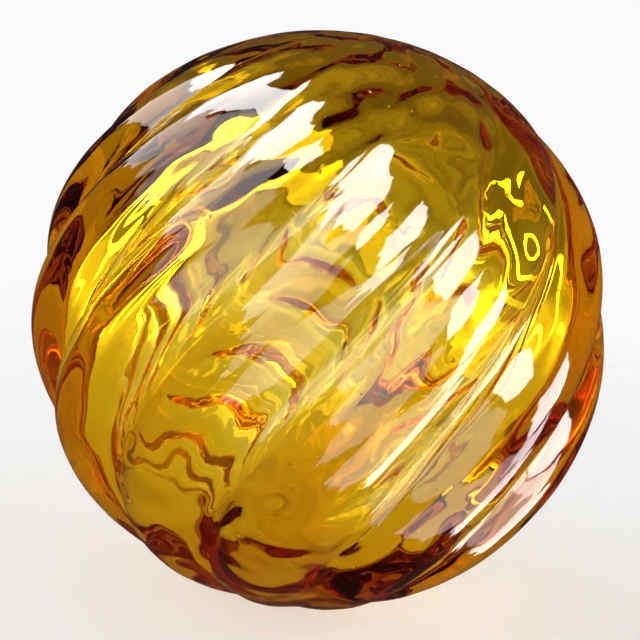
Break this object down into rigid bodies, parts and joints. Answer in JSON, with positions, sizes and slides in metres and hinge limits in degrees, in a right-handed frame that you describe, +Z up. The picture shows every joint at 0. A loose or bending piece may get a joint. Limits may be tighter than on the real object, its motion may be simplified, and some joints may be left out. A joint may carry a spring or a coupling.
{
  "type": "blown glass sphere",
  "caption": "Sealed amber glass ball with rounded ribs in a right-handed swirl and a small ground flat at its lower pole that it stands on.",
  "frame": {"origin": "centre of the small ground flat at the lower pole, on the surface the ball stands on", "axes": "+Z up along the axis that the ribs swirl about; +Y away from the viewer of the picture and +X to the viewer's right"},
  "size_m": [0.1494, 0.1489, 0.1473],
  "materials": {
    "amber_glass": "fire-polished clear amber glass, gold where thin and red-brown where thick, with seed bubbles and a ground base"
  },
  "bodies": {
    "root": {"glass_sphere": "amber_glass"}
  },
  "joints": []
}
